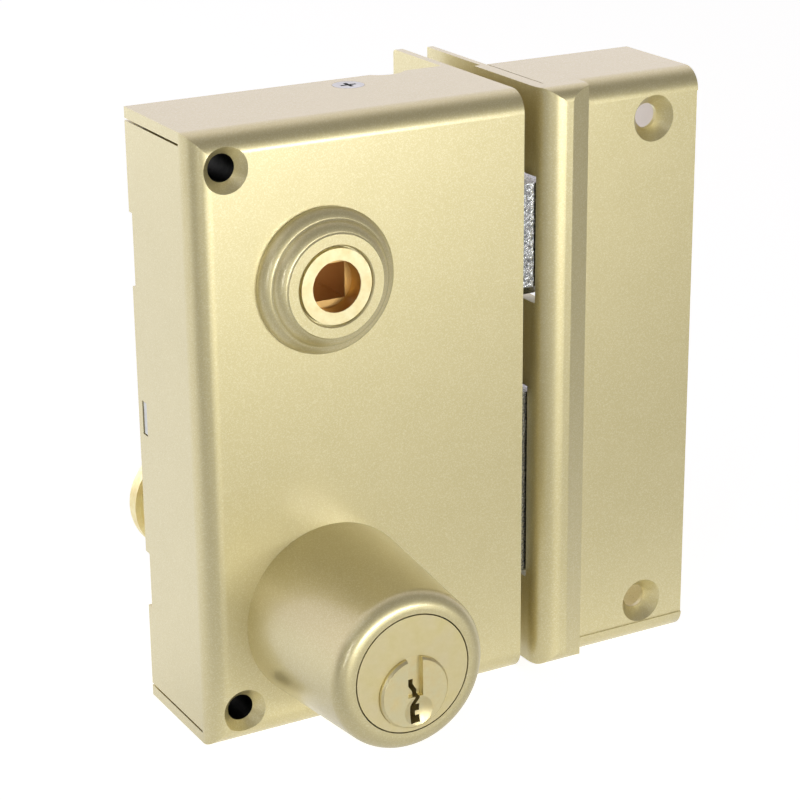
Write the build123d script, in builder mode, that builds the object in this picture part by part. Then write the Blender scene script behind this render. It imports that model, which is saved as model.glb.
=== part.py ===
from build123d import *
from math import acos, asin, cos, pi, radians, sin, tan
import os

# Rim night latch: a surface-mounted door lock and its strike, in millimetres.
# The origin is on the door face, on the spindle axis. +X runs towards the strike,
# -Y out of the door into the room and +Z up.

os.makedirs("parts", exist_ok=True)

# --- Case ---------------------------------------------------------------------
case_width = 80.5
case_height = 140.0
case_depth = 33.0
case_sheet = 2.5
case_bend = 5.0            # outer radius of the folded edges
case_edge = 1.0            # rounding of the front edge at the faceplate
corner_slit = 0.5          # left open between the folded flanges
slit_length = 27.8
backset = 50.0             # spindle axis to the faceplate's outer face
spindle_drop = 35.0        # spindle axis below the top edge

# --- Wood screws through the case ----------------------------------------------
fixing_inset_x = 8.2
fixing_inset_z = 8.0
fixing_hole = 6.1
fixing_head = 10.3
sleeve_wall = 1.0
sleeve_chamfer = 0.8

# --- Faceplate ------------------------------------------------------------------
faceplate_thickness = 2.0
faceplate_reach = 22.5     # behind the door face, on the door's edge
edge_hole = 5.0
edge_hole_head = 8.2
edge_hole_depth = 12.0     # behind the door face
edge_hole_inset = 28.0     # from the ends of the faceplate
window_gap = 0.3           # round each bolt

# --- Back plate -----------------------------------------------------------------
back_plate_thickness = 2.0
back_plate_recess = 2.3    # its rear face, in from the door face
plate_gap = 0.2            # round the back plate
tab_drop = 0.25            # its middle, below the case's
tab_height = 7.9
upper_notch_inset = 31.75  # its middle, from the case's top edge
upper_notch_height = 16.9
upper_notch_depth = 1.6
lower_notch_inset = 29.75  # its middle, from the case's bottom edge
lower_notch_height = 13.5
lower_notch_depth = 2.0
finger_notch_x = 34.0
finger_notch_width = 9.0
finger_notch_depth = 2.0
lug_width = 14.0
lug_length = 8.0
case_screw_x = 20.5
case_screw_inset = 6.5     # from the door face
screw_diameter = 4.0
screw_head = 7.2
screw_head_height = 1.8
screw_length = 6.0
screw_gap = 0.1            # radial, round a screw's shank
recess_length = 3.8        # of a screw's cross recess
recess_width = 0.9
recess_depth = 1.1

# --- Spindle hub and its boss ----------------------------------------------------
boss_radius = 16.3
boss_height = 5.7
boss_foot = 0.9            # upright edge at its base
boss_rim_radius = 11.4
boss_ridges = 2            # round its shoulder
ridge_bulge = 0.35
groove_width = 0.5         # under each ridge's inner side
groove_rise = 0.35
groove_dip = 0.08
boss_bevel = 0.3           # round its mouth
boss_collar = 10.4         # spigot through the case's front sheet
boss_relief_depth = 1.6    # wide mouth round the hub's end
boss_relief_gap = 0.45
hub_radius = 8.4
hub_collar = 11.0
hub_bore = 11.5
hub_bore_depth = 4.2
spindle_square = 8.0
running_gap = 0.05         # radial, of every turning fit
axial_gap = 0.3
hub_arm_reach = 17.5
hub_arm_tip = 2.5
hub_arm_root = 7.0         # width of an arm on the axis
hub_arm_neck = 3.2         # and just below its round tip
push_pad = 5.5             # height of the pad that an arm pushes

# --- Latch bolt -------------------------------------------------------------------
latch_height = 26.5
latch_thickness = 16.0
latch_front_gap = 0.5      # between the case's front sheet and the bolt
latch_travel = 12.0
latch_length = 31.5        # of its head
latch_nose = 3.0
latch_chamfer = 2.4
bolt_stand = 0.5           # a withdrawn bolt stands this proud of the faceplate
tail_thickness = 4.0
tail_front = 20.0          # of the latch's tail, in front of the door face
tail_bar = 3.0             # upright parts of the tail's frame
tail_rail = 2.0            # and its level parts
tail_gap = 0.5
push_gap = 0.15            # between a hub arm and the tail it pushes
latch_spring_coil = 5.6    # mean diameter
latch_spring_wire = 0.9
latch_spring_turns = 9
latch_spring_z = 7.0
latch_spring_pocket = 10.0
spring_post = 5.0

# --- Dead bolt and its rack --------------------------------------------------------
dead_height = 45.0
dead_rise = 44.6           # its top above the axis of the plugs
dead_thickness = 14.0
dead_front = 27.4          # in front of the door face
dead_length = 42.6
dead_chamfer = 0.8
dead_tail_length = 33.5
dead_tail_drop = 13.0      # the tail's top, below the bolt's
dead_tail_front = 22.0
guide_post = 6.0
guide_post_x = 2.0
guide_post_drop = 23.0     # below the bolt's top
guide_gap = 0.2
rivet_diameter = 3.6
rivet_head = 5.6
rivet_head_height = 0.9
rivet_dome = 0.7           # rounding of a rivet's head
gear_module = 0.8
gear_teeth = 8
pressure_angle = 30.0
pinion_addendum = 0.65
rack_addendum = 0.7
root_gap = 0.2
backlash = 0.12
first_tooth = -1.5         # pitches from the pinion's axis, which stands under a gap
pinion_width = 6.0
pinion_disc = 8.4
pinion_pilot = 4.0
pilot_length = 3.0

# --- Cylinders ----------------------------------------------------------------------
cylinder_height = 27.5     # cylinder axis above the case's bottom edge
cylinder_diameter = 26.8
cylinder_flange = 31.0
cylinder_flange_height = 3.0
cylinder_gap = 0.3         # radial, in the sleeve
sleeve_base = 42.0
sleeve_front = 36.0
sleeve_round = 3.6
sleeve_height = 37.0
plug_drop = 4.1            # plug axis below the cylinder axis
plug_diameter = 16.4
plug_proud = 1.2
plug_bevel = 0.5
plug_journal = 12.0
journal_gap = 0.3
journal_stand = 0.7        # past the sheet that it runs through
keyway_depth = 30.0
keyway_top = 2.8           # above the plug's axis
keyway_slot = 5.6          # height of its zigzag
keyway_width = 1.1
keyway_shift = 0.45        # of its zigzag, to either side
keyway_belly = 2.3         # width of its lower part
keyway_belly_height = 4.2
keyway_ward = 1.0          # the ward that stands into the belly
channel_width = 3.6
channel_depth = 1.5
channel_foot = -0.8        # its lower end, above the plug's axis
dish_radius = 3.4          # shallow hollow round the keyway's lower part
dish_depth = 0.7
dish_x = 0.7
dish_drop = 4.2
clutch_thickness = 1.6
clutch_width = 6.8
clutch_gap = 0.05
clutch_bite = 4.0
rear_length = 49.3         # of the rear cylinder, behind the door face
rear_diameter = 26.0
rear_collar = 29.0
rear_collar_length = 5.0
rear_collar_round = 1.6
cylinder_screw_x = 9.5
cylinder_screw_z = 3.0     # above the cylinder axis
cylinder_screw_length = 12.0

# --- Strike --------------------------------------------------------------------------
strike_gap = 4.5           # from the faceplate
strike_width = 42.0
strike_depth = 29.0
strike_sheet = 1.6
strike_bend = 5.0
lip_bend = 5.6             # where the lip turns into the strike's left face
lip_end_bend = 3.2         # at the lip's upper and lower ends
lip_height = 1.6
lip_crest_x = 7.4          # from the strike's left face
lip_foot_x = 12.3
crest_round = 1.2
strike_reach = 20.5        # of its plate, behind the door face
panel_top = 5.1
panel_bottom = 4.7
panel_depth = 0.35
strike_hole = 5.7
strike_hole_head = 10.8
strike_hole_angle = 75.0   # of its countersink
dimple_land = 1.0          # of each hole, past its countersink
strike_hole_inset_x = 11.8
strike_hole_inset_z = 10.2
strike_edge_head = 7.4     # of the holes in its plate
keep_gap = 1.5             # round a bolt in the strike

# --- Worked out from the sizes above ---------------------------------------------------
case_right = backset
case_left = case_right - case_width
case_top = spindle_drop
case_bottom = case_top - case_height
case_middle_z = (case_top + case_bottom) / 2
tab_z = case_middle_z - tab_drop
upper_notch_z = case_top - upper_notch_inset
lower_notch_z = case_bottom + lower_notch_inset
plate_x = case_right - faceplate_thickness
inner_front = case_sheet - case_depth
back_rear = -back_plate_recess
back_front = back_rear - back_plate_thickness
fixing_x = case_left + fixing_inset_x
fixing_spacing = case_height - 2 * fixing_inset_z
latch_top = latch_height / 2
latch_front = inner_front + latch_front_gap
latch_tip = case_right + bolt_stand + latch_travel
latch_back = latch_tip - latch_length
spring_post_x = hub_collar + spring_post / 2 + tail_gap
pitch_radius = gear_module * gear_teeth / 2
rack_pitch = pi * gear_module
dead_travel = 2 * pi * pitch_radius
dead_tip = case_right + bolt_stand + dead_travel
dead_back = dead_tip - dead_length
cylinder_z = case_bottom + cylinder_height
plug_z = cylinder_z - plug_drop
dead_top = plug_z + dead_rise
dead_tail_top = dead_top - dead_tail_drop
guide_post_z = dead_top - guide_post_drop
strike_left = case_right + strike_gap
strike_right = strike_left + strike_width
strike_front = -case_depth
strike_back = strike_front + strike_depth


below = (Align.CENTER, Align.CENTER, Align.MAX)


def folded_block(x_range, y_range, z_range, bend, left_bend, right_bend):
    """A block with its front edges rounded as a folded sheet's are."""
    (x0, x1), (y0, y1), (z0, z1) = x_range, y_range, z_range
    with BuildPart() as block:
        with BuildSketch(Plane.YZ.offset(x0)):
            with Locations(((y0 + y1) / 2, (z0 + z1) / 2)):
                Rectangle(y1 - y0, z1 - z0)
            fillet(vertices().group_by(Axis.X)[0], bend)
        extrude(amount=x1 - x0)
        with BuildSketch(Plane.XY.offset(z0)):
            with Locations(((x0 + x1) / 2, (y0 + y1) / 2)):
                Rectangle(x1 - x0, y1 - y0)
            front = vertices().group_by(Axis.Y)[0].sort_by(Axis.X)
            if left_bend:
                fillet(front[0], left_bend)
            if right_bend:
                fillet(front[-1], right_bend)
        extrude(amount=z1 - z0, mode=Mode.INTERSECT)
    return block.part


def box_between(x_range, y_range, z_range, mode=Mode.ADD):
    """A box given by its limits along each axis."""
    (x0, x1), (y0, y1), (z0, z1) = x_range, y_range, z_range
    with Locations(((x0 + x1) / 2, (y0 + y1) / 2, (z0 + z1) / 2)):
        Box(x1 - x0, y1 - y0, z1 - z0, mode=mode)


def round_bar(x, z, radius, y_start, y_end, mode=Mode.ADD):
    """A round bar, or hole, along Y."""
    with Locations(Plane((x, (y_start + y_end) / 2, z), z_dir=(0, 1, 0))):
        Cylinder(radius, abs(y_end - y_start), mode=mode)


def fixing_points():
    """Where the two wood screws pass through the case."""
    return [(fixing_x, case_middle_z + side * fixing_spacing / 2) for side in (1, -1)]


def cylinder_screw_points():
    """Where the screws that hold each cylinder stand."""
    return [(side * cylinder_screw_x, cylinder_z + cylinder_screw_z) for side in (-1, 1)]


# --- Case shell: one sheet folded round the front, left, top and bottom -------------------
case_core = folded_block(
    (case_left + case_sheet, case_right + case_sheet),
    (inner_front, case_sheet),
    (case_bottom + case_sheet, case_top - case_sheet),
    case_bend - case_sheet,
    case_bend - case_sheet,
    0,
)
case_block = folded_block(
    (case_left, case_right),
    (-case_depth, 0),
    (case_bottom, case_top),
    case_bend,
    case_bend,
    case_edge,
)
with BuildPart() as case_shell:
    add(case_block)
    add(case_core, mode=Mode.SUBTRACT)
    # the top and bottom flanges end against the faceplate
    box_between(
        (plate_x, case_right + case_sheet),
        (case_bend - case_depth, case_sheet),
        (case_bottom - case_sheet, case_top + case_sheet),
        mode=Mode.SUBTRACT,
    )
    # slits beside the left flange
    for slit_z in (case_top - case_sheet - corner_slit, case_bottom + case_sheet):
        box_between(
            (case_left - case_sheet, case_left + case_bend),
            (-slit_length, case_sheet),
            (slit_z, slit_z + corner_slit),
            mode=Mode.SUBTRACT,
        )
    # slot for the back plate's tab, and two notches in the rear edge
    box_between(
        (case_left - case_sheet, case_left + 2 * case_sheet),
        (back_front - plate_gap, back_rear + plate_gap),
        (tab_z - tab_height / 2, tab_z + tab_height / 2),
        mode=Mode.SUBTRACT,
    )
    for notch_z, notch_height, notch_depth in (
        (upper_notch_z, upper_notch_height, upper_notch_depth),
        (lower_notch_z, lower_notch_height, lower_notch_depth),
    ):
        box_between(
            (case_left - case_sheet, case_left + 2 * case_sheet),
            (-notch_depth, case_sheet),
            (notch_z - notch_height / 2, notch_z + notch_height / 2),
            mode=Mode.SUBTRACT,
        )
    # half-round finger notch in the top flange's rear edge
    notch_radius = (finger_notch_width**2 / 4 + finger_notch_depth**2) / (2 * finger_notch_depth)
    with BuildSketch(Plane.XY.offset(case_top)):
        with Locations((finger_notch_x, notch_radius - finger_notch_depth)):
            Circle(notch_radius)
    extrude(amount=-2 * case_sheet, mode=Mode.SUBTRACT)
    # countersunk holes for the wood screws
    with Locations(Plane.XZ.offset(case_depth)):
        with Locations(*fixing_points()):
            CounterSinkHole(fixing_hole / 2, fixing_head / 2, depth=2 * case_sheet)
    # hub boss, front plug and cylinder screws
    round_bar(0, 0, boss_collar + screw_gap, -case_depth, inner_front, Mode.SUBTRACT)
    round_bar(0, plug_z, plug_journal / 2 + journal_gap, -case_depth, inner_front, Mode.SUBTRACT)
    with Locations(Plane((0, inner_front, 0), x_dir=(-1, 0, 0), z_dir=(0, 1, 0))):
        with Locations(*cylinder_screw_points()):
            CounterSinkHole(
                screw_diameter / 2 + screw_gap,
                screw_head / 2 + screw_gap,
                depth=2 * case_sheet,
            )
    # screws into the back plate's lugs
    for flange, outward in ((case_top, 1), (case_bottom, -1)):
        with Locations(Plane((case_screw_x, -case_screw_inset, flange), z_dir=(0, 0, outward))):
            CounterSinkHole(
                screw_diameter / 2 + screw_gap,
                screw_head / 2 + screw_gap,
                depth=2 * case_sheet,
            )
case_shell.part.label = "case_shell"
export_step(case_shell.part, "parts/case_shell.step")


# --- Faceplate: closes the case towards the strike and runs on over the door's edge --------
latch_window_y = (inner_front - case_sheet, latch_front + latch_thickness + window_gap)
dead_window_y = (-dead_front - window_gap, -dead_front + dead_thickness + window_gap)
with BuildPart() as faceplate:
    with BuildSketch(Plane.YZ.offset(plate_x)):
        with Locations(((inner_front + faceplate_reach) / 2, case_middle_z)):
            Rectangle(faceplate_reach - inner_front, case_height - 2 * (case_sheet + plate_gap))
        with Locations(((case_bend - case_depth + faceplate_reach) / 2, case_middle_z)):
            Rectangle(faceplate_reach + case_depth - case_bend, case_height)
        fillet(vertices().group_by(Axis.X)[0], case_bend - case_sheet - plate_gap / 2)
        fillet(vertices().group_by(Axis.X)[-1], case_edge)
    extrude(amount=faceplate_thickness)
    box_between(
        (plate_x - case_sheet, case_right + case_sheet),
        latch_window_y,
        (-latch_top - window_gap, latch_top + window_gap),
        mode=Mode.SUBTRACT,
    )
    box_between(
        (plate_x - case_sheet, case_right + case_sheet),
        dead_window_y,
        (dead_top - dead_height - window_gap, dead_top + window_gap),
        mode=Mode.SUBTRACT,
    )
    with Locations(Plane.YZ.offset(case_right)):
        with Locations((edge_hole_depth, case_middle_z)):
            with GridLocations(0, case_height - 2 * edge_hole_inset, 1, 2):
                CounterSinkHole(edge_hole / 2, edge_hole_head / 2, depth=2 * faceplate_thickness)
faceplate.part.label = "faceplate"
export_step(faceplate.part, "parts/faceplate.step")


# --- Back plate: carries the posts and both cylinders' rear screws --------------------------
lug_top = case_height / 2 - case_sheet - plate_gap
with BuildPart() as back_plate:
    box_between(
        (case_left + case_sheet + plate_gap, plate_x - plate_gap),
        (back_front, back_rear),
        (case_middle_z - lug_top, case_middle_z + lug_top),
    )
    box_between(
        (case_left + plate_gap, case_left + 2 * case_sheet),
        (back_front, back_rear),
        (tab_z - tab_height / 2 + plate_gap, tab_z + tab_height / 2 - plate_gap),
    )
    for side in (1, -1):
        lug_z = case_middle_z + side * (lug_top - back_plate_thickness / 2)
        with Locations((case_screw_x, back_front - lug_length / 2, lug_z)):
            Box(lug_width, lug_length, back_plate_thickness)
        with Locations(
            Plane((case_screw_x, -case_screw_inset, case_middle_z), z_dir=(0, 0, side))
        ):
            with Locations((0, 0, lug_top)):
                Hole(screw_diameter / 2 + running_gap, depth=2 * back_plate_thickness)
    for x, z in fixing_points():
        round_bar(x, z, fixing_hole / 2, back_rear, back_front, Mode.SUBTRACT)
    round_bar(0, 0, hub_radius + running_gap, back_rear, back_front, Mode.SUBTRACT)
    round_bar(0, plug_z, plug_journal / 2 + journal_gap, back_rear, back_front, Mode.SUBTRACT)
    for x, z in ((guide_post_x, guide_post_z), (spring_post_x, latch_spring_z)):
        round_bar(x, z, rivet_diameter / 2 + running_gap, back_rear, back_front, Mode.SUBTRACT)
    with Locations(Plane.XZ.offset(-back_front)):
        with Locations(*cylinder_screw_points()):
            CounterSinkHole(
                screw_diameter / 2 + screw_gap,
                screw_head / 2 + screw_gap,
                depth=2 * back_plate_thickness,
            )
back_plate.part.label = "back_plate"
export_step(back_plate.part, "parts/back_plate.step")


def countersunk_screw(plane, length):
    """A countersunk screw whose head is flush with the plane and shank runs into it."""
    with Locations(plane):
        Cylinder(screw_diameter / 2, length, align=below)
        Cone(screw_diameter / 2, screw_head / 2, screw_head_height, align=below)
        Box(recess_length, recess_width, recess_depth, align=below, mode=Mode.SUBTRACT)
        Box(recess_width, recess_length, recess_depth, align=below, mode=Mode.SUBTRACT)


with BuildPart() as case_screws:
    for flange, outward in ((case_top, 1), (case_bottom, -1)):
        countersunk_screw(
            Plane((case_screw_x, -case_screw_inset, flange), z_dir=(0, 0, outward)),
            screw_length,
        )
case_screws.part.label = "case_screws"
export_step(case_screws.part, "parts/case_screws.step")

with BuildPart() as fixing_sleeves:
    for x, z in fixing_points():
        round_bar(x, z, fixing_hole / 2 + sleeve_wall, back_front, inner_front)
    chamfer(edges().filter_by(GeomType.CIRCLE).group_by(Axis.Y)[0], sleeve_chamfer)
    for x, z in fixing_points():
        round_bar(x, z, fixing_hole / 2, back_front, inner_front, Mode.SUBTRACT)
fixing_sleeves.part.label = "fixing_sleeves"
export_step(fixing_sleeves.part, "parts/fixing_sleeves.step")


# --- Hub boss: turned ring round the spindle, held by its spigot ----------------------------
rim = -case_depth - boss_height
ridge_width = (boss_radius - boss_rim_radius) / boss_ridges - groove_width
ridge_rise = (boss_height - boss_foot) / boss_ridges - groove_rise
with BuildPart() as hub_boss:
    with BuildSketch(Plane.XY):
        with BuildLine():
            Polyline(
                (hub_radius + running_gap, inner_front),
                (boss_collar, inner_front),
                (boss_collar, -case_depth),
                (boss_radius, -case_depth),
                (boss_radius, -case_depth - boss_foot),
            )
            # the shoulder steps up in soft ridges with a groove behind each
            foot = Vector(boss_radius, -case_depth - boss_foot)
            for _ in range(boss_ridges):
                crest = foot + (-ridge_width, -ridge_rise)
                SagittaArc(foot, crest, ridge_bulge)
                foot = crest + (-groove_width, -groove_rise)
                SagittaArc(crest, foot, -groove_dip)
            Polyline(
                (boss_rim_radius, rim),
                (hub_radius + boss_relief_gap + boss_bevel, rim),
                (hub_radius + boss_relief_gap, rim + boss_bevel),
                (hub_radius + boss_relief_gap, rim + boss_relief_depth),
                (hub_radius + running_gap, rim + boss_relief_depth),
                (hub_radius + running_gap, inner_front),
            )
        make_face()
    revolve(axis=Axis.Y)
hub_boss.part.label = "hub_boss"
export_step(hub_boss.part, "parts/hub_boss.step")


# --- Spindle hub: brass, with an arm above and below that draws the latch ------------------
hub_front = -case_depth - boss_height
tail_rear = -tail_front + tail_thickness
arm_angle = asin(latch_travel / 2 / hub_arm_reach)
with BuildPart() as spindle_hub:
    round_bar(0, 0, hub_radius, hub_front, back_rear + axial_gap)
    round_bar(0, 0, hub_collar, inner_front + axial_gap, back_front - axial_gap)
    with BuildSketch(Plane.XZ.offset(tail_front - push_gap)):
        for side in (1, -1):
            tip = (hub_arm_reach * sin(arm_angle), side * hub_arm_reach * cos(arm_angle))
            with Locations(tip):
                Circle(hub_arm_tip)
            across = Vector(side * cos(arm_angle), -sin(arm_angle))
            Polygon(
                across * (hub_arm_root / 2),
                Vector(*tip) + across * (hub_arm_neck / 2),
                Vector(*tip) - across * (hub_arm_neck / 2),
                across * (-hub_arm_root / 2),
                align=None,
            )
    extrude(amount=2 * push_gap - tail_thickness)
    with BuildSketch(Plane.XZ.offset(-hub_front)):
        Rectangle(spindle_square, spindle_square)
    extrude(amount=-2 * case_depth, mode=Mode.SUBTRACT)
    with Locations(Plane.XZ.offset(-hub_front)):
        Hole(hub_bore / 2, depth=hub_bore_depth)
spindle_hub.part.label = "spindle_hub"
export_step(spindle_hub.part, "parts/spindle_hub.step")


# --- Latch bolt: bevelled head and a tail framed round the hub ------------------------------
window_left = -hub_collar - tail_gap
push_face = hub_arm_reach * sin(arm_angle) - hub_arm_tip - push_gap
arm_slot = hub_arm_reach + hub_arm_tip + tail_gap
with BuildPart() as latch_bolt:
    # head, bevelled on its rear side
    with BuildSketch(Plane.XY.offset(-latch_top)):
        Polygon(
            (latch_back, latch_front),
            (latch_tip, latch_front),
            (latch_tip, latch_front + latch_nose),
            (case_right + bolt_stand, latch_front + latch_thickness),
            (latch_back, latch_front + latch_thickness),
            align=None,
        )
    extrude(amount=latch_height)
    lower_front = edges().filter_by(Axis.X).group_by(Axis.Z)[0].sort_by(Axis.Y)[0]
    chamfer(lower_front, latch_chamfer)
    # tail frame
    with BuildSketch(Plane.XZ.offset(tail_front)):
        tail_left = window_left - tail_bar
        tail_right = latch_back + tail_bar
        with Locations(((tail_left + tail_right) / 2, 0)):
            Rectangle(tail_right - tail_left, 2 * (arm_slot + tail_rail))
        with Locations(((window_left + latch_back) / 2, 0)):
            Rectangle(latch_back - window_left, 2 * (hub_collar + tail_gap), mode=Mode.SUBTRACT)
        with Locations(((push_face + latch_back) / 2, 0)):
            Rectangle(latch_back - push_face, 2 * arm_slot, mode=Mode.SUBTRACT)
        with Locations((latch_back / 2, 0)):
            Rectangle(latch_back, 2 * (arm_slot - push_pad), mode=Mode.SUBTRACT)
    extrude(amount=-tail_thickness)
    # pocket for the spring
    pocket_mouth = (latch_back, latch_front + latch_spring_coil, latch_spring_z)
    with Locations(Plane(pocket_mouth, z_dir=(-1, 0, 0))):
        Hole(latch_spring_coil / 2 + latch_spring_wire, depth=latch_spring_pocket)
latch_bolt.part.label = "latch_bolt"
export_step(latch_bolt.part, "parts/latch_bolt.step")


# --- Latch spring: pushes the latch out, from its post to the pocket in the head --------------
spring_y = latch_front + latch_spring_coil
spring_start = spring_post_x + spring_post / 2 + latch_spring_wire / 2 + push_gap
spring_end = latch_back + latch_spring_pocket - latch_spring_wire / 2 - push_gap
spring_pitch = (spring_end - spring_start) / latch_spring_turns
with BuildPart() as latch_spring:
    with BuildLine():
        coil = Helix(
            spring_pitch,
            spring_end - spring_start,
            latch_spring_coil / 2,
            center=(spring_start, spring_y, latch_spring_z),
            direction=(1, 0, 0),
        )
    with BuildSketch(Plane(coil @ 0, z_dir=coil % 0)):
        Circle(latch_spring_wire / 2)
    sweep()
latch_spring.part.label = "latch_spring"
export_step(latch_spring.part, "parts/latch_spring.step")


def riveted_post(x, z, diameter):
    """A post from the case's front sheet to the back plate, riveted over behind it."""
    round_bar(x, z, diameter / 2, inner_front, back_front)
    round_bar(x, z, rivet_diameter / 2, back_front, back_rear)
    round_bar(x, z, rivet_head / 2, back_rear, back_rear + rivet_head_height)
    fillet(edges().filter_by(GeomType.CIRCLE).sort_by(Axis.Y)[-1], rivet_dome)


with BuildPart() as spring_stop_post:
    riveted_post(spring_post_x, latch_spring_z, spring_post)
spring_stop_post.part.label = "spring_stop_post"
export_step(spring_stop_post.part, "parts/spring_stop_post.step")

with BuildPart() as bolt_guide_post:
    riveted_post(guide_post_x, guide_post_z, guide_post)
bolt_guide_post.part.label = "bolt_guide_post"
export_step(bolt_guide_post.part, "parts/bolt_guide_post.step")


# --- Dead bolt: head, slotted tail and the rack along the tail's lower edge -------------------
pitch_z = plug_z + pitch_radius
flank = tan(radians(pressure_angle))
half_tooth = (rack_pitch - backlash) / 4
tail_root_z = pitch_z + pinion_addendum + root_gap
rack_teeth = gear_teeth + 4
with BuildPart() as dead_bolt:
    with Locations(
        (
            (dead_back + dead_tip) / 2,
            -dead_front + dead_thickness / 2,
            dead_top - dead_height / 2,
        )
    ):
        Box(dead_length, dead_thickness, dead_height)
    chamfer(faces().sort_by(Axis.X)[-1].edges(), dead_chamfer)
    with BuildSketch(Plane.XZ.offset(dead_tail_front)):
        tail_left = dead_back - dead_tail_length
        with Locations(((tail_left + dead_back) / 2, (tail_root_z + dead_tail_top) / 2)):
            Rectangle(dead_tail_length, dead_tail_top - tail_root_z)
        fillet(vertices().group_by(Axis.X)[0].sort_by(Axis.Y)[-1], guide_post)
        # slot along which the tail runs on its post
        with Locations((guide_post_x + dead_travel / 2, guide_post_z)):
            SlotOverall(
                dead_travel + guide_post + 2 * guide_gap,
                guide_post + 2 * guide_gap,
                mode=Mode.SUBTRACT,
            )
        # rack teeth stand between the gaps that the pinion's teeth run in
        for k in range(rack_teeth):
            tooth_x = (k + first_tooth) * rack_pitch
            half_tip = half_tooth - rack_addendum * flank
            half_root = half_tooth + (tail_root_z - pitch_z) * flank
            Polygon(
                (tooth_x - half_root, tail_root_z),
                (tooth_x - half_tip, pitch_z - rack_addendum),
                (tooth_x + half_tip, pitch_z - rack_addendum),
                (tooth_x + half_root, tail_root_z),
                align=None,
            )
    extrude(amount=-tail_thickness)
dead_bolt.part.label = "dead_bolt"
export_step(dead_bolt.part, "parts/dead_bolt.step")


# --- Drive pinion: meshes with the rack, turned by the clutch blade ----------------------------
base_radius = pitch_radius * cos(radians(pressure_angle))
tip_radius = pitch_radius + pinion_addendum
root_radius = pitch_radius - rack_addendum - root_gap
flank_steps = 4
pinion_front = dead_tail_front + (pinion_width - tail_thickness) / 2
front_plug_end = inner_front + journal_stand
rear_plug_end = back_front - journal_stand
pinion_start = front_plug_end + axial_gap
pinion_end = rear_plug_end - axial_gap


def involute(angle):
    """How far an involute flank has turned where its pressure angle is this."""
    return tan(angle) - angle


def tooth_outline():
    """One pinion tooth along local X, from inside the root circle to its tip."""
    pitch_turn = half_tooth / pitch_radius + involute(radians(pressure_angle))
    flank_points = [(root_radius * 0.8, pitch_turn), (base_radius, pitch_turn)]
    for step in range(1, flank_steps + 1):
        r = base_radius + (tip_radius - base_radius) * step / flank_steps
        flank_points.append((r, pitch_turn - involute(acos(base_radius / r))))
    upper = [(r * cos(turn), r * sin(turn)) for r, turn in flank_points]
    lower = [(x, -y) for x, y in reversed(upper)]
    return upper + lower


with BuildPart() as drive_pinion:
    with BuildSketch(Plane.XZ.offset(pinion_front)):
        with Locations((0, plug_z)):
            Circle(root_radius)
            with PolarLocations(0, gear_teeth, start_angle=90):
                Polygon(*tooth_outline(), align=None)
    extrude(amount=-pinion_width)
    round_bar(0, plug_z, pinion_disc / 2, pinion_start, -pinion_front)
    round_bar(0, plug_z, pinion_disc / 2, pinion_width - pinion_front, pinion_end)
    round_bar(0, plug_z, pinion_pilot / 2, pinion_end, pinion_end + pilot_length)
    box_between(
        (-clutch_thickness / 2 - clutch_gap, clutch_thickness / 2 + clutch_gap),
        (pinion_start, pinion_start + clutch_bite),
        (plug_z - clutch_width / 2 - clutch_gap, plug_z + clutch_width / 2 + clutch_gap),
        mode=Mode.SUBTRACT,
    )
drive_pinion.part.label = "drive_pinion"
export_step(drive_pinion.part, "parts/drive_pinion.step")

with BuildPart() as clutch_blade:
    box_between(
        (-clutch_thickness / 2, clutch_thickness / 2),
        (front_plug_end - clutch_bite + clutch_gap, pinion_start + clutch_bite - clutch_gap),
        (plug_z - clutch_width / 2, plug_z + clutch_width / 2),
    )
clutch_blade.part.label = "clutch_blade"
export_step(clutch_blade.part, "parts/clutch_blade.step")


# --- Cylinder sleeve: tapered cover round the front cylinder ------------------------------------
sleeve_face = -case_depth - sleeve_height
with BuildPart() as cylinder_sleeve:
    with BuildSketch(Plane.XY.offset(cylinder_z)):
        with BuildLine():
            Polyline(
                (cylinder_diameter / 2 + cylinder_gap, sleeve_face),
                (sleeve_front / 2, sleeve_face),
                (sleeve_base / 2, -case_depth),
                (cylinder_flange / 2 + cylinder_gap, -case_depth),
                (cylinder_flange / 2 + cylinder_gap, -case_depth - cylinder_flange_height),
                (cylinder_diameter / 2 + cylinder_gap, -case_depth - cylinder_flange_height),
                close=True,
            )
        make_face()
        fillet(vertices().sort_by(Axis.Y)[:2].sort_by(Axis.X)[-1], sleeve_round)
    revolve(axis=Axis((0, 0, cylinder_z), (0, 1, 0)))
cylinder_sleeve.part.label = "cylinder_sleeve"
export_step(cylinder_sleeve.part, "parts/cylinder_sleeve.step")


# --- Cylinder bodies, front and rear ---------------------------------------------------------------
plug_hole = plug_diameter / 2 + running_gap
screw_hole = screw_diameter / 2 + running_gap
with BuildPart() as front_cylinder:
    round_bar(0, cylinder_z, cylinder_diameter / 2, sleeve_face, -case_depth)
    flange_front = -case_depth - cylinder_flange_height
    round_bar(0, cylinder_z, cylinder_flange / 2, flange_front, -case_depth)
    round_bar(0, plug_z, plug_hole, sleeve_face, -case_depth, Mode.SUBTRACT)
    for x, z in cylinder_screw_points():
        round_bar(x, z, screw_hole, -case_depth - cylinder_screw_length, -case_depth, Mode.SUBTRACT)
front_cylinder.part.label = "front_cylinder"
export_step(front_cylinder.part, "parts/front_cylinder.step")

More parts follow.
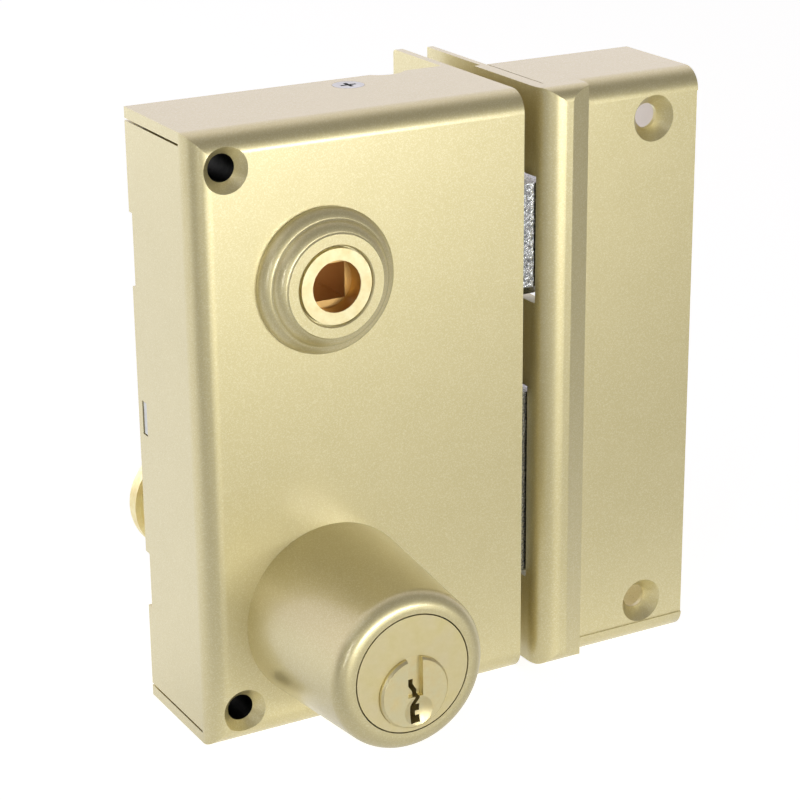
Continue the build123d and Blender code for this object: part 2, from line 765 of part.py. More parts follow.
with BuildPart() as rear_cylinder:
    round_bar(0, cylinder_z, rear_diameter / 2, back_rear, rear_length)
    round_bar(0, cylinder_z, rear_collar / 2, rear_length - rear_collar_length, rear_length)
    fillet(edges().filter_by(GeomType.CIRCLE).sort_by(Axis.Y)[-1], rear_collar_round)
    round_bar(0, plug_z, plug_hole, back_rear, rear_length, Mode.SUBTRACT)
    for x, z in cylinder_screw_points():
        round_bar(x, z, screw_hole, back_rear, back_rear + cylinder_screw_length, Mode.SUBTRACT)
rear_cylinder.part.label = "rear_cylinder"
export_step(rear_cylinder.part, "parts/rear_cylinder.step")


# --- Plugs: the round barrels that a key turns ----------------------------------------------------
def keyway():
    """The keyway's section on a plug's face: a zigzag slot, wider and warded below."""
    step = keyway_slot / 4
    with BuildLine() as zigzag:
        Polyline(
            (-keyway_shift, keyway_top),
            (-keyway_shift, keyway_top - step),
            (keyway_shift, keyway_top - 2 * step),
            (keyway_shift, keyway_top - 3 * step),
            (-keyway_shift, keyway_top - 4 * step),
            (-keyway_shift, keyway_top - 5 * step),
        )
    trace(zigzag.line, keyway_width)
    belly_z = keyway_top - keyway_slot - keyway_belly_height / 2
    with Locations((0, belly_z)):
        Rectangle(keyway_belly, keyway_belly_height)
    with Locations((keyway_belly / 2, belly_z)):
        Rectangle(2 * keyway_ward, keyway_ward, mode=Mode.SUBTRACT)


def plug_face(face_y):
    """The plane of a plug's proud face, seen from outside."""
    outward = 1 if face_y > 0 else -1
    origin = (0, face_y + outward * plug_proud, plug_z)
    return Plane(origin, x_dir=(-outward, 0, 0), z_dir=(0, outward, 0))


def plug_barrel(face_y, seat_y, journal_y):
    """Barrel from its proud face to its seat, with a thinner journal behind."""
    outward = 1 if face_y > journal_y else -1
    round_bar(0, plug_z, plug_diameter / 2, face_y + outward * plug_proud, seat_y)
    front_edge = edges().filter_by(GeomType.CIRCLE).sort_by(Axis.Y)[0 if outward < 0 else -1]
    chamfer(front_edge, plug_bevel)
    round_bar(0, plug_z, plug_journal / 2, seat_y, journal_y)


def key_channel(face_y):
    """The upright guide that a key's shoulder drops into, above the keyway."""
    outward = 1 if face_y > 0 else -1
    tip_y = face_y + outward * plug_proud
    box_between(
        (-channel_width / 2, channel_width / 2),
        sorted((tip_y - outward * channel_depth, tip_y + outward)),
        (plug_z + channel_foot, plug_z + plug_diameter),
        mode=Mode.SUBTRACT,
    )


def key_dish(face_y):
    """The shallow round hollow that the keyway's lower part opens in."""
    ball = (dish_radius**2 + dish_depth**2) / (2 * dish_depth)
    with Locations(plug_face(face_y)):
        with Locations((dish_x, -dish_drop, ball - dish_depth)):
            Sphere(ball, mode=Mode.SUBTRACT)


with BuildPart() as front_plug:
    plug_barrel(sleeve_face, -case_depth - axial_gap, front_plug_end)
    key_channel(sleeve_face)
    key_dish(sleeve_face)
    with BuildSketch(plug_face(sleeve_face)):
        keyway()
    extrude(amount=-keyway_depth, mode=Mode.SUBTRACT)
    box_between(
        (-clutch_thickness / 2 - clutch_gap, clutch_thickness / 2 + clutch_gap),
        (front_plug_end - clutch_bite, front_plug_end),
        (plug_z - clutch_width / 2 - clutch_gap, plug_z + clutch_width / 2 + clutch_gap),
        mode=Mode.SUBTRACT,
    )
front_plug.part.label = "front_plug"
export_step(front_plug.part, "parts/front_plug.step")

with BuildPart() as rear_plug:
    plug_barrel(rear_length, back_rear + axial_gap, rear_plug_end)
    key_channel(rear_length)
    key_dish(rear_length)
    with BuildSketch(plug_face(rear_length)):
        keyway()
    extrude(amount=-keyway_depth, mode=Mode.SUBTRACT)
    round_bar(
        0,
        plug_z,
        pinion_pilot / 2 + running_gap,
        rear_plug_end,
        rear_plug_end + pilot_length,
        Mode.SUBTRACT,
    )
rear_plug.part.label = "rear_plug"
export_step(rear_plug.part, "parts/rear_plug.step")

with BuildPart() as cylinder_screws:
    for x, z in cylinder_screw_points():
        countersunk_screw(Plane((x, inner_front, z), z_dir=(0, 1, 0)), cylinder_screw_length)
        countersunk_screw(Plane((x, back_front, z), z_dir=(0, -1, 0)), cylinder_screw_length)
cylinder_screws.part.label = "cylinder_screws"
export_step(cylinder_screws.part, "parts/cylinder_screws.step")


# --- Strike cover: folded sheet with a raised lip on the side of the lock ----------------------------
def strike_form(inset):
    """The strike's outer form with its raised lip, or its inside for an inset."""
    left, right = strike_left + inset, strike_right - inset
    front = strike_front + inset
    back = strike_back + inset
    bottom, top = case_bottom + inset, case_top - inset
    bend = strike_bend - inset
    block = folded_block((left, right), (front, back), (bottom, top), bend, bend, bend)
    with BuildPart() as form:
        with BuildSketch(Plane.YZ.offset(left)):
            with Locations(((front - lip_height + back) / 2, case_middle_z)):
                Rectangle(back - front + lip_height, top - bottom)
            fillet(vertices().group_by(Axis.X)[0], lip_end_bend - inset)
        extrude(amount=lip_foot_x - inset)
        # the lip stands highest at its crest and slopes down to the panel
        with BuildSketch(Plane.XY.offset(bottom)):
            Polygon(
                (left, back),
                (left, front - lip_height),
                (strike_left + lip_crest_x, front - lip_height),
                (strike_left + lip_foot_x, front),
                (strike_left + lip_foot_x, back),
                align=None,
            )
            fillet(vertices().group_by(Axis.Y)[0].sort_by(Axis.X)[0], lip_bend - inset)
            fillet(vertices().group_by(Axis.Y)[0].sort_by(Axis.X)[-1], crest_round)
        extrude(amount=top - bottom, mode=Mode.INTERSECT)
        add(block)
    return form.part


strike_shell = strike_form(0)
strike_inside = strike_form(strike_sheet)
plate_left = strike_left + strike_sheet
strike_hole_x = strike_right - strike_hole_inset_x
strike_hole_spacing = case_height - 2 * strike_hole_inset_z
bolt_windows = (
    (latch_front, latch_thickness, latch_top, latch_height),
    (-dead_front, dead_thickness, dead_top, dead_height),
)
sink_depth = (strike_hole_head - strike_hole) / 2 / tan(radians(strike_hole_angle / 2))
dimple_depth = sink_depth + dimple_land


def cut_bolt_windows(x_range):
    """Openings that the two bolts shoot into."""
    for front, thickness, top, height in bolt_windows:
        box_between(
            x_range,
            (front - keep_gap / 3, front + thickness + keep_gap),
            (top - height - keep_gap, top + keep_gap),
            mode=Mode.SUBTRACT,
        )


with BuildPart() as strike_cover:
    add(strike_shell)
    add(strike_inside, mode=Mode.SUBTRACT)
    box_between(
        (plate_left, plate_left + strike_sheet + corner_slit / 2),
        (strike_front + strike_bend, strike_back + strike_sheet),
        (case_bottom - strike_sheet, case_top + strike_sheet),
        mode=Mode.SUBTRACT,
    )
    cut_bolt_windows((strike_left - strike_sheet, plate_left + strike_sheet))
    # shallow pressed panel, running out into the right-hand bend
    box_between(
        (strike_left + lip_foot_x, strike_right),
        (strike_front - panel_depth, strike_front + panel_depth),
        (case_bottom + panel_bottom, case_top - panel_top),
        mode=Mode.SUBTRACT,
    )
    # dimpled screw holes
    hole_plane = Plane(
        (strike_hole_x, strike_front + panel_depth, case_middle_z),
        x_dir=(1, 0, 0),
        z_dir=(0, -1, 0),
    )
    with Locations(hole_plane):
        with GridLocations(0, strike_hole_spacing, 1, 2):
            with Locations((0, 0, -dimple_depth)):
                Cone(
                    strike_hole / 2 + strike_sheet,
                    strike_hole_head / 2 + strike_sheet,
                    dimple_depth,
                    align=(Align.CENTER, Align.CENTER, Align.MIN),
                )
            CounterSinkHole(
                strike_hole / 2,
                strike_hole_head / 2,
                depth=2 * dimple_depth,
                counter_sink_angle=strike_hole_angle,
            )
strike_cover.part.label = "strike_cover"
export_step(strike_cover.part, "parts/strike_cover.step")

with BuildPart() as strike_plate:
    box_between(
        (plate_left, plate_left + strike_sheet),
        (strike_front + strike_bend, strike_reach),
        (case_bottom, case_top),
    )
    cut_bolt_windows((strike_left - strike_sheet, strike_left + 3 * strike_sheet))
    flange_plane = Plane(
        (plate_left, edge_hole_depth, case_middle_z),
        x_dir=(0, 1, 0),
        z_dir=(-1, 0, 0),
    )
    with Locations(flange_plane):
        with GridLocations(0, case_height - 2 * edge_hole_inset, 1, 2):
            CounterSinkHole(edge_hole / 2, strike_edge_head / 2, depth=2 * strike_sheet)
strike_plate.part.label = "strike_plate"
export_step(strike_plate.part, "parts/strike_plate.step")
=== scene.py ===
from math import cos, radians, sin

import bpy
from mathutils import Matrix, Vector


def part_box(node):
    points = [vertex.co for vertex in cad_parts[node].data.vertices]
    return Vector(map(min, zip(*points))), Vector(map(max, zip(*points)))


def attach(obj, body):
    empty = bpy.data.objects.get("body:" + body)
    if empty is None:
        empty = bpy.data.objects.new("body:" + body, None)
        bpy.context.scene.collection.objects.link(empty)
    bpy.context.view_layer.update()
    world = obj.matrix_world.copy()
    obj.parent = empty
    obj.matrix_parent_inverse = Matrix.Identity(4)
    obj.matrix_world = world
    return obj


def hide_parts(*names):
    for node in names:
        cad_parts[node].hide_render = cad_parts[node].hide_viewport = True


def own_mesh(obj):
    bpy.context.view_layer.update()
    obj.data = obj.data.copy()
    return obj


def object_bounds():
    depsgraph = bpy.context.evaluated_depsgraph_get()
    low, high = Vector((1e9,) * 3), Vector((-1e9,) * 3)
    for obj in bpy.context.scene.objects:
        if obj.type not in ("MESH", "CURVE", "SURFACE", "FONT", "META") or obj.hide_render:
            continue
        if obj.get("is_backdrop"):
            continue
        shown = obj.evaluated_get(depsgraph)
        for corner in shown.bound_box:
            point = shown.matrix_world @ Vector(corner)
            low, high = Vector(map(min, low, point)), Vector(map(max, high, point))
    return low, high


bl_info = {
    "name": "Rim Night Latch",
    "version": (1, 0, 0),
    "blender": (4, 5, 0),
    "location": "3D View > Sidebar > Night Latch",
    "description": "Finishes and fittings for a surface-mounted night latch and its strike",
    "category": "Object",
}

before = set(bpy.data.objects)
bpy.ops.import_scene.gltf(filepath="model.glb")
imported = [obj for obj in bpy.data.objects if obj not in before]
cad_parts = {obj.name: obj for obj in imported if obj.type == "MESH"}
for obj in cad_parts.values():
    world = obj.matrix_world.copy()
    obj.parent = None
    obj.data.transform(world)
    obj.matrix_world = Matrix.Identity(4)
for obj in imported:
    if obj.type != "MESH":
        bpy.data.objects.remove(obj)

MM = 0.001
SPINDLE_BORE = 5.8 * MM  # radius of the hub's mouth, and a little more
MOUTH_LIP = 0.25 * MM  # depth of bright brass before the bore's painted brown shade begins
STRIKE_SHEET = 1.6 * MM  # thickness of the strike's folded sheet
WIRE_SIDES = 12
WHITE = (1, 1, 1, 1)
LENS_SHIFT = (-0.00377, 0.00882)
CAMERA_PLACE = (-0.223965, -0.469997, 0.149526)
CAMERA_TURN, CAMERA_RISE, CAMERA_ROLL = -29.0557, 19.9963, -0.5791  # degrees


def linear(code):
    """An sRGB hex colour as linear red, green and blue."""
    channels = [(code >> shift & 255) / 255 for shift in (16, 8, 0)]
    return tuple(c / 12.92 if c <= 0.04045 else ((c + 0.055) / 1.055) ** 2.4 for c in channels)


def tint(name, description, code):
    """A colour setting whose default is an sRGB hex colour."""
    return bpy.props.FloatVectorProperty(
        name=name, description=description, default=linear(code), subtype="COLOR", min=0, max=1
    )


def length(name, description, millimetres):
    """A size setting, given in millimetres and held in metres."""
    return bpy.props.FloatProperty(
        name=name, description=description, default=millimetres * MM, unit="LENGTH", min=0
    )


def lamp_power(name, description, watts):
    """A lamp's power setting."""
    return bpy.props.FloatProperty(
        name=name, description=description, default=watts, unit="POWER", min=0
    )


def amount(name, description, value):
    """A plain number that isn't negative."""
    return bpy.props.FloatProperty(name=name, description=description, default=value, min=0)


# --- Settings ---------------------------------------------------------------------------


class NightLatchFinishes(bpy.types.PropertyGroup):
    """Colours of the finishes."""

    paint: tint("Paint", "Champagne-gold paint on the folded covers", 0xE6DAA4)
    paint_shade: tint("Paint shade", "Deeper tone where the paint lies thicker", 0xE3D7A0)
    # partly painted glint: the pale flake colour stands for the sparkle of the aluminium flakes
    flake: tint("Flake", "Aluminium flake that catches the light in the paint", 0xFBF4CF)
    champagne: tint("Cylinder", "Satin champagne plating of the front cylinder", 0xF0E4B8)
    brass: tint("Brass", "Turned brass of the hub and plugs", 0xF6EDC0)
    brass_shade: tint("Brass shade", "Tarnish between the tool marks of the brass", 0xEBDBA4)
    # painted shade: the brown of the hub's bore stands for the shade inside it
    bore_painted_shade: tint("Raw brass", "Tarnished brass in the spindle's bore", 0xDDB674)
    bare_zinc: tint("Bare zinc", "Galvanised inside of the strike", 0xD9CFCB)
    zinc: tint("Zinc", "Zinc plating on the bolts and the back plate", 0xDADCDC)
    zinc_shade: tint("Zinc shade", "Pits in the plating of the bolts", 0x54565A)
    steel: tint("Steel", "Turned steel of the posts and the pinion", 0xB4B6B8)
    # painted shade: the fixing sleeves are black so that the screw holes look dark inside
    sleeve_painted_shade: tint("Black oxide", "Blackened steel of the fixing sleeves", 0x1B1A18)


class NightLatchSpring(bpy.types.PropertyGroup):
    """The latch's spring."""

    wire: length("Wire", "Diameter of the spring's wire", 0.9)
    turns: bpy.props.IntProperty(
        name="Turns", description="Turns of the spring", default=9, min=2
    )
    facets: bpy.props.IntProperty(
        name="Facets", description="Sides of each turn, seen along the spring", default=32, min=8
    )


class NightLatchStage(bpy.types.PropertyGroup):
    """The floor, the lamps, the room that gloss reflects, and the camera."""

    floor_width: length("Floor width", "Side of the square floor", 8000)
    floor_tone: tint("Floor", "Colour of the plain floor", 0xC9C8C6)
    floor_lift: amount("Floor lift", "How much paler the floor looks than it is lit", 0.86)
    back_power: lamp_power("Back lamp", "Soft lamp behind", 1.5)
    key_power: lamp_power("Key lamp", "Soft wide lamp in front", 4.0)
    fill_power: lamp_power("Side lamp", "Soft lamp at the left, from above", 0.4)
    strip_power: lamp_power("Strip lamp", "Thin lamp that draws a line in the bends", 1.1)
    room_front: amount("Room in front", "Brightness that gloss sees in front of the lock", 0.18)
    room_tone: tint("Room tone", "Colour that the room lends to gloss", 0xFFF9FF)
    room_light: amount("Room light", "Brightness of the soft light all round", 0.2)
    lens: bpy.props.FloatProperty(
        name="Lens", description="Focal length on a 36 mm sensor", default=107.958, unit="CAMERA"
    )


# --- Materials ---------------------------------------------------------------------------


def shader_node(tree, kind, inputs=None, **properties):
    """Adds a node with its settings, and links or sets its inputs."""
    node = tree.nodes.new(kind)
    for name, value in properties.items():
        setattr(node, name, value)
    for socket, value in (inputs or {}).items():
        if isinstance(value, bpy.types.NodeSocket):
            tree.links.new(value, node.inputs[socket])
        else:
            node.inputs[socket].default_value = value
    return node


def new_material(name):
    """An empty material with its shader, and the coordinates that its patterns read."""
    material = bpy.data.materials.new(name)
    material.use_nodes = True
    tree = material.node_tree
    tree.nodes.clear()
    surface = shader_node(tree, "ShaderNodeBsdfPrincipled")
    shader_node(tree, "ShaderNodeOutputMaterial", {"Surface": surface.outputs[0]})
    place = shader_node(tree, "ShaderNodeTexCoord").outputs["Object"]
    return material, tree, surface, place


def rgba(colour):
    """The colour, fully opaque."""
    return (*colour, 1)


def broken_colour(tree, place, wave, low, high, detail=3):
    """Two tones in soft patches as wide as the wave, and the pattern that parts them."""
    patches = shader_node(
        tree,
        "ShaderNodeTexNoise",
        {"Vector": place, "Scale": 1 / (wave * MM), "Detail": detail, "Roughness": 0.6},
    )
    spread = shader_node(
        tree,
        "ShaderNodeMapRange",
        {"Value": patches.outputs["Fac"], "From Min": 0.3, "From Max": 0.7},
    )
    tone = shader_node(
        tree,
        "ShaderNodeMix",
        {0: spread.outputs[0], 6: rgba(low), 7: rgba(high)},
        data_type="RGBA",
    )
    return tone.outputs[2], spread.outputs[0]


def inside_box(tree, place, low, high):
    """1 where the place lies between the two corners, and 0 outside them."""
    middle = (Vector(low) + Vector(high)) / 2
    half = (Vector(high) - Vector(low)) / 2
    moved = shader_node(tree, "ShaderNodeVectorMath", {0: place, 1: middle}, operation="SUBTRACT")
    away = shader_node(
        tree, "ShaderNodeVectorMath", {0: moved.outputs[0]}, operation="ABSOLUTE"
    )
    past = shader_node(
        tree, "ShaderNodeVectorMath", {0: away.outputs[0], 1: half}, operation="SUBTRACT"
    )
    axes = shader_node(tree, "ShaderNodeSeparateXYZ", {0: past.outputs[0]})
    widest = shader_node(
        tree, "ShaderNodeMath", {0: axes.outputs[0], 1: axes.outputs[1]}, operation="MAXIMUM"
    )
    furthest = shader_node(
        tree, "ShaderNodeMath", {0: widest.outputs[0], 1: axes.outputs[2]}, operation="MAXIMUM"
    )
    within = shader_node(
        tree, "ShaderNodeMath", {0: furthest.outputs[0], 1: 0.0}, operation="LESS_THAN"
    )
    return within.outputs[0]


def bare_metal_and_painted_shade(material, low, high, colour):
    """Gives the surface between the two corners another colour; used for bare metal and for
    painted shade.
    """
    tree = material.node_tree
    surface = tree.nodes["Principled BSDF"]
    place = tree.nodes["Texture Coordinate"].outputs["Object"]
    coloured = surface.inputs["Base Color"].links[0].from_socket
    bare_and_shaded = shader_node(
        tree,
        "ShaderNodeMix",
        {0: inside_box(tree, place, low, high), 6: coloured, 7: rgba(colour)},
        data_type="RGBA",
    )
    tree.links.new(bare_and_shaded.outputs[2], surface.inputs["Base Color"])


def mirrored_only(tree, path, brightness):
    """The brightness for rays that come off gloss or through glass, and 0 for the others."""
    mirrored = shader_node(
        tree,
        "ShaderNodeMath",
        {0: path.outputs["Is Glossy Ray"], 1: path.outputs["Is Transmission Ray"]},
        operation="MAXIMUM",
    )
    reflected = shader_node(
        tree, "ShaderNodeMath", {0: mirrored.outputs[0], 1: brightness}, operation="MULTIPLY"
    )
    return reflected.outputs[0]


def raised(tree, surface, height, strength, depth):
    """Lets the height pattern stand out of the surface by the depth."""
    bump = shader_node(
        tree, "ShaderNodeBump", {"Height": height, "Strength": strength, "Distance": depth * MM}
    )
    tree.links.new(bump.outputs[0], surface.inputs["Normal"])


def flake_paint():
    """Sprayed polyester paint with aluminium flake: a satin gold that turns pale where it is seen
    edge on, with a fine glitter of pale flake specks that is partly painted glint, and a faint
    orange peel."""
    tones = bpy.context.scene.night_latch_finishes
    material, tree, surface, place = new_material("flake_paint")
    ground, _ = broken_colour(tree, place, 9, tones.paint_shade, tones.paint)
    # flakes are 0.03 mm across and are drawn at 0.2 mm, so that they show
    flakes = shader_node(tree, "ShaderNodeTexVoronoi", {"Vector": place, "Scale": 1 / (0.2 * MM)})
    chance = shader_node(tree, "ShaderNodeSeparateColor", {"Color": flakes.outputs["Color"]})
    # partly painted glint: some flakes get the paler colour, for their sparkle
    painted_glint = shader_node(
        tree,
        "ShaderNodeMapRange",
        {"Value": chance.outputs[0], "From Min": 0.6, "From Max": 1.0, "To Max": 0.5},
    )
    colour = shader_node(
        tree,
        "ShaderNodeMix",
        {0: painted_glint.outputs[0], 6: ground, 7: rgba(tones.flake)},
        data_type="RGBA",
    )
    rough = shader_node(
        tree,
        "ShaderNodeMapRange",
        {"Value": chance.outputs[1], "To Min": 0.4, "To Max": 0.48},
    )
    # orange peel has waves about 1.5 mm long
    peel = shader_node(
        tree,
        "ShaderNodeTexNoise",
        {"Vector": place, "Scale": 1 / (1.5 * MM), "Detail": 2, "Roughness": 0.5},
    )
    raised(tree, surface, peel.outputs["Fac"], 0.1, 0.04)
    surface.inputs["Metallic"].default_value = 0.75
    surface.inputs["Coat Weight"].default_value = 1
    surface.inputs["Coat IOR"].default_value = 1.72
    surface.inputs["Coat Roughness"].default_value = 0.22
    tree.links.new(colour.outputs[2], surface.inputs["Base Color"])
    tree.links.new(rough.outputs[0], surface.inputs["Roughness"])
    return material


def metal(name, low, high, wave, roughness, strength=0.3, depth=0.01):
    """A bare or plated metal in two tones, uneven at the wave's length in millimetres."""
    material, tree, surface, place = new_material(name)
    colour, pattern = broken_colour(tree, place, wave, low, high)
    rough = shader_node(
        tree,
        "ShaderNodeMapRange",
        {"Value": pattern, "To Min": roughness + 0.06, "To Max": roughness - 0.04},
    )
    raised(tree, surface, pattern, strength, depth)
    surface.inputs["Metallic"].default_value = 1
    tree.links.new(colour, surface.inputs["Base Color"])
    tree.links.new(rough.outputs[0], surface.inputs["Roughness"])
    return material


def satin_champagne():
    """Champagne plating over fine satin-polished zinc: even, soft and pale."""
    tones = bpy.context.scene.night_latch_finishes
    return metal("satin_champagne", tones.paint_shade, tones.champagne, 4, 0.46, 0.15)


def turned_brass():
    """Turned brass under thin lacquer: pale yellow, in soft patches of two tones."""
    tones = bpy.context.scene.night_latch_finishes
    return metal("turned_brass", tones.brass_shade, tones.brass, 2.5, 0.42, 0.2)


def hub_brass():
    """The hub's turned brass, painted brown as painted shade in the bore that takes the spindle.
    """
    tones = bpy.context.scene.night_latch_finishes
    material = turned_brass()
    material.name = "turned_brass_hub"
    low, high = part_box("spindle_hub")
    # painted shade: the bore behind the mouth is coloured brown
    bare_metal_and_painted_shade(
        material,
        (-SPINDLE_BORE, low.y + MOUTH_LIP, -SPINDLE_BORE),
        (SPINDLE_BORE, high.y + 1 * MM, SPINDLE_BORE),
        tones.bore_painted_shade,
    )
    return material


def strike_paint():
    """The strike's paint, with the bare zinc of its blind side showing through its holes."""
    tones = bpy.context.scene.night_latch_finishes
    material = flake_paint()
    material.name = "flake_paint_strike"
    low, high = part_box("strike_cover")
    margin = 5 * STRIKE_SHEET  # clear of the rounded bends, which are painted
    bare_metal_and_painted_shade(
        material,
        (high.x - 2 * STRIKE_SHEET, low.y + margin, low.z + margin),
        (high.x - STRIKE_SHEET / 2, high.y, high.z - margin),
        tones.bare_zinc,
    )
    return material


def cast_zinc():
    """Bright zinc on a bolt that was cast and tumbled: mirror bright between small pits."""
    tones = bpy.context.scene.night_latch_finishes
    return metal("plated_casting", tones.zinc_shade, tones.zinc, 0.55, 0.22, 0.5, 0.1)


def zinc_sheet():
    """Zinc-plated sheet and screws: bluish white, with a soft cloudy bloom."""
    tones = bpy.context.scene.night_latch_finishes
    return metal("zinc_plated_sheet", [c * 0.85 for c in tones.zinc], tones.zinc, 3, 0.3)


def turned_steel():
    """Bright turned steel, lightly oiled: grey and smooth."""
    tones = bpy.context.scene.night_latch_finishes
    return metal("turned_steel", [c * 0.8 for c in tones.steel], tones.steel, 0.6, 0.28)


def sleeve_painted_shade():
    """Steel tube painted matt black as painted shade, for the dark inside of the screw holes, a
    little rubbed.
    """
    tones = bpy.context.scene.night_latch_finishes
    return metal(
        "sleeve_painted_shade", tones.sleeve_painted_shade, [c * 2 for c in tones.sleeve_painted_shade], 1.5, 0.5
    )


def finish_nodes(material, *names):
    """Gives the named parts of the lock that material."""
    for name in names:
        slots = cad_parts[name].data.materials
        slots.clear()
        slots.append(material)


# --- Operators ----------------------------------------------------------------------------


class NIGHTLATCH_OT_covers(bpy.types.Operator):
    """Paint the case, the faceplate, the boss, the sleeve and the strike"""

    bl_idname = "nightlatch.covers"
    bl_label = "Painted covers"

    def execute(self, context):
        finish_nodes(
            flake_paint(),
            "case_shell",
            "faceplate",
            "hub_boss",
            "cylinder_sleeve",
            "strike_plate",
        )
        finish_nodes(strike_paint(), "strike_cover")
        return {"FINISHED"}


class NIGHTLATCH_OT_bolts(bpy.types.Operator):
    """Plate the latch and the dead bolt"""

    bl_idname = "nightlatch.bolts"
    bl_label = "Bolts"

    def execute(self, context):
        finish_nodes(cast_zinc(), "latch_bolt", "dead_bolt")
        return {"FINISHED"}


class NIGHTLATCH_OT_hub_and_cylinders(bpy.types.Operator):
    """Finish the spindle hub, the cylinders and their plugs"""

    bl_idname = "nightlatch.hub_and_cylinders"
    bl_label = "Hub and cylinders"

    def execute(self, context):
        finish_nodes(satin_champagne(), "front_cylinder")
        finish_nodes(hub_brass(), "spindle_hub")
        finish_nodes(turned_brass(), "front_plug", "rear_plug", "rear_cylinder")
        return {"FINISHED"}


class NIGHTLATCH_OT_inner_parts(bpy.types.Operator):
    """Finish the back plate, the screws, the sleeves, the posts, the drive and the spring"""

    bl_idname = "nightlatch.inner_parts"
    bl_label = "Inner parts"

    def execute(self, context):
        finish_nodes(zinc_sheet(), "back_plate", "case_screws", "cylinder_screws")
        # painted shade: black sleeves stand for the dark inside of the screw holes
        finish_nodes(sleeve_painted_shade(), "fixing_sleeves")
        finish_nodes(
            turned_steel(),
            "bolt_guide_post",
            "spring_stop_post",
            "drive_pinion",
            "clutch_blade",
            "latch_spring",
        )
        return {"FINISHED"}


class NIGHTLATCH_OT_spring(bpy.types.Operator):
    """Wind the latch's spring"""

    bl_idname = "nightlatch.spring"
    bl_label = "Latch spring"

    def execute(self, context):
        size = context.scene.night_latch_spring
        low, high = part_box("latch_spring")
        middle = (low + high) / 2
        radius = (high.y - low.y - size.wire) / 2
        bpy.ops.object.select_all(action="DESELECT")
        bpy.ops.mesh.primitive_circle_add(
            vertices=WIRE_SIDES,
            radius=size.wire / 2,
            fill_type="NOTHING",
            location=(low.x + size.wire / 2, middle.y, middle.z),
        )
        spring = context.active_object
        spring.name = "latch_spring_coil"
        bpy.ops.object.mode_set(mode="EDIT")
        bpy.ops.mesh.select_all(action="SELECT")
        bpy.ops.transform.translate(value=(0, radius, 0))
        bpy.ops.object.mode_set(mode="OBJECT")
        wind = spring.modifiers.new("wind", "SCREW")
        wind.axis = "X"
        wind.iterations = size.turns
        wind.screw_offset = (high.x - low.x - size.wire) / size.turns
        wind.steps = wind.render_steps = size.facets
        bpy.ops.object.modifier_apply(modifier="wind")
        bpy.ops.object.mode_set(mode="EDIT")
        bpy.ops.mesh.select_all(action="SELECT")
        bpy.ops.mesh.fill_holes(sides=0)
        bpy.ops.mesh.normals_make_consistent(inside=False)
        bpy.ops.object.mode_set(mode="OBJECT")
        bpy.ops.object.transform_apply(location=True, rotation=True, scale=True)
        bpy.ops.object.shade_smooth_by_angle(angle=radians(40))
        spring.data.materials.append(turned_steel())
        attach(spring, "case")
        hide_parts("latch_spring")
        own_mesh(spring)
        return {"FINISHED"}


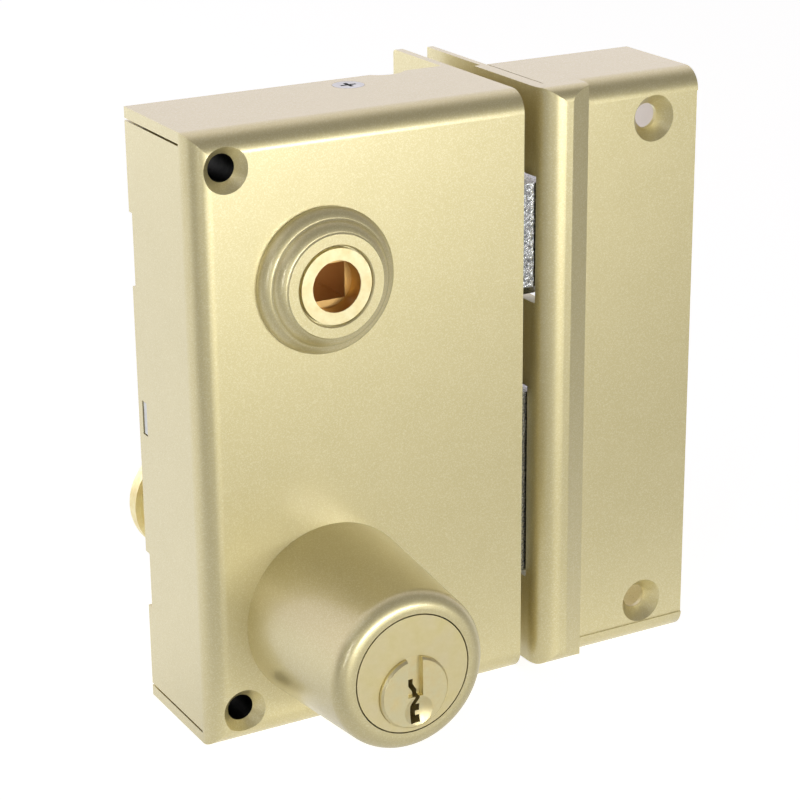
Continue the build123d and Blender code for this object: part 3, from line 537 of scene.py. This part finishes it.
class NIGHTLATCH_OT_stage(bpy.types.Operator):
    """Set the floor, the soft lamps and the camera round the lock"""

    bl_idname = "nightlatch.stage"
    bl_label = "Stage"

    def execute(self, context):
        setup = context.scene.night_latch_stage
        low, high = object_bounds()
        bpy.ops.object.select_all(action="DESELECT")
        bpy.ops.mesh.primitive_plane_add(size=setup.floor_width, location=(0, 0, low.z))
        floor = context.active_object
        floor.name = "floor"
        floor.data.transform(floor.matrix_world)
        floor.matrix_world = Matrix.Identity(4)
        floor.data.materials.append(self.floor_material(setup))
        floor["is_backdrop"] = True
        self.world(context, setup)
        middle = (low + high) / 2
        for name, offset, width, height, power in (
            ("back_lamp", (-0.35, 1.0, 0.05), 0.5, 0.5, setup.back_power),
            ("key_lamp", (0.12, -0.97, 0.0), 0.7, 0.1, setup.key_power),
            ("side_lamp", (-0.62, -0.2, 0.55), 0.5, 0.5, setup.fill_power),
            ("strip_lamp", (-0.68, -0.73, 0.0), 0.04, 0.6, setup.strip_power),
        ):
            self.lamp(context, name, middle, Vector(offset), (width, height), power)
        self.camera(context, setup)
        context.scene.view_settings.view_transform = "Standard"
        return {"FINISHED"}

    def floor_material(self, setup):
        """Pale matt paper, a little lighter to the eye than its shadow."""
        material, tree, surface, place = new_material("floor_paper")
        surface.inputs["Base Color"].default_value = rgba(setup.floor_tone)
        surface.inputs["Roughness"].default_value = 0.9
        surface.inputs["Specular IOR Level"].default_value = 0
        surface.inputs["Emission Color"].default_value = WHITE
        path = shader_node(tree, "ShaderNodeLightPath")
        # reflections see the paper fall into the dim room in front of the lock
        back = shader_node(
            tree,
            "ShaderNodeMapRange",
            {
                "Value": shader_node(tree, "ShaderNodeSeparateXYZ", {0: place}).outputs["Y"],
                "From Min": -0.15,
                "From Max": 0.05,
                "To Min": setup.room_front,
                "To Max": 1.0,
            },
            interpolation_type="SMOOTHSTEP",
        )
        reflected = mirrored_only(tree, path, back.outputs[0])
        seen = shader_node(
            tree,
            "ShaderNodeMath",
            {0: path.outputs["Is Camera Ray"], 1: reflected},
            operation="MAXIMUM",
        )
        lift = shader_node(
            tree,
            "ShaderNodeMath",
            {0: seen.outputs[0], 1: setup.floor_lift},
            operation="MULTIPLY",
        )
        tree.links.new(lift.outputs[0], surface.inputs["Emission Strength"])
        return material

    def world(self, context, setup):
        """White to the eye all round and white behind the lock to every ray, with a
        dimmer room on the camera's side."""
        world = bpy.data.worlds.new("white_room")
        context.scene.world = world
        world.use_nodes = True
        tree = world.node_tree
        tree.nodes.clear()
        path = shader_node(tree, "ShaderNodeLightPath")
        toward = shader_node(
            tree,
            "ShaderNodeSeparateXYZ",
            {"Vector": shader_node(tree, "ShaderNodeTexCoord").outputs["Generated"]},
        )
        room = shader_node(
            tree,
            "ShaderNodeMapRange",
            {
                "Value": toward.outputs["Y"],
                "From Min": -0.3,
                "From Max": 0.5,
                "To Min": setup.room_front,
                "To Max": 1.0,
            },
            interpolation_type="SMOOTHSTEP",
        )
        lit = shader_node(
            tree,
            "ShaderNodeMath",
            {0: mirrored_only(tree, path, room.outputs[0]), 1: setup.room_light},
            operation="MAXIMUM",
        )
        strength = shader_node(
            tree,
            "ShaderNodeMath",
            {0: path.outputs["Is Camera Ray"], 1: lit.outputs[0]},
            operation="MAXIMUM",
        )
        tone = shader_node(
            tree,
            "ShaderNodeMix",
            {0: path.outputs["Is Camera Ray"], 6: rgba(setup.room_tone), 7: WHITE},
            data_type="RGBA",
        )
        light = shader_node(
            tree,
            "ShaderNodeBackground",
            {"Color": tone.outputs[2], "Strength": strength.outputs[0]},
        )
        shader_node(tree, "ShaderNodeOutputWorld", {"Surface": light.outputs[0]})

    def lamp(self, context, name, middle, offset, size, power):
        """A soft lamp that faces the lock's middle from the offset and isn't seen itself."""
        data = bpy.data.lights.new(name, "AREA")
        data.shape = "RECTANGLE"
        data.size, data.size_y = size
        data.energy = power
        lamp = bpy.data.objects.new(name, data)
        context.collection.objects.link(lamp)
        lamp.location = middle + offset
        lamp.rotation_euler = (-offset).to_track_quat("-Z", "Y").to_euler()
        lamp.visible_camera = False

    def camera(self, context, setup):
        """Looks down at the lock from its left."""
        data = bpy.data.cameras.new("camera")
        data.lens = setup.lens
        data.sensor_width = 36
        data.shift_x, data.shift_y = LENS_SHIFT
        camera = bpy.data.objects.new("camera", data)
        context.collection.objects.link(camera)
        turn, rise, roll = radians(CAMERA_TURN), radians(CAMERA_RISE), radians(CAMERA_ROLL)
        back = Vector((sin(turn) * cos(rise), -cos(turn) * cos(rise), sin(rise)))
        aim = (-back).to_track_quat("-Z", "Y").to_matrix().to_4x4()
        rolled = aim @ Matrix.Rotation(roll, 4, "Z")
        camera.matrix_world = Matrix.Translation(CAMERA_PLACE) @ rolled
        context.scene.camera = camera


class NIGHTLATCH_PT_panel(bpy.types.Panel):
    """Makes the night latch, step by step"""

    bl_label = "Night Latch"
    bl_idname = "NIGHTLATCH_PT_panel"
    bl_space_type = "VIEW_3D"
    bl_region_type = "UI"
    bl_category = "Night Latch"

    def draw(self, context):
        for step in STEPS:
            self.layout.operator(step.bl_idname)
        for name, group in SETTINGS.items():
            box = self.layout.box()
            for setting in group.__annotations__:
                box.prop(getattr(context.scene, name), setting)


STEPS = (
    NIGHTLATCH_OT_covers,
    NIGHTLATCH_OT_bolts,
    NIGHTLATCH_OT_hub_and_cylinders,
    NIGHTLATCH_OT_inner_parts,
    NIGHTLATCH_OT_spring,
    NIGHTLATCH_OT_stage,
)
SETTINGS = {
    "night_latch_finishes": NightLatchFinishes,
    "night_latch_spring": NightLatchSpring,
    "night_latch_stage": NightLatchStage,
}
CLASSES = (*SETTINGS.values(), *STEPS, NIGHTLATCH_PT_panel)


def register():
    for cls in CLASSES:
        bpy.utils.register_class(cls)
    for name, group in SETTINGS.items():
        setattr(bpy.types.Scene, name, bpy.props.PointerProperty(type=group))


def unregister():
    for name in SETTINGS:
        delattr(bpy.types.Scene, name)
    for cls in reversed(CLASSES):
        bpy.utils.unregister_class(cls)


def main():
    """Makes every piece in order."""
    register()
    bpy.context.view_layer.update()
    for step in STEPS:
        group, name = step.bl_idname.split(".")
        getattr(getattr(bpy.ops, group), name)()


if __name__ == "__main__":
    main()
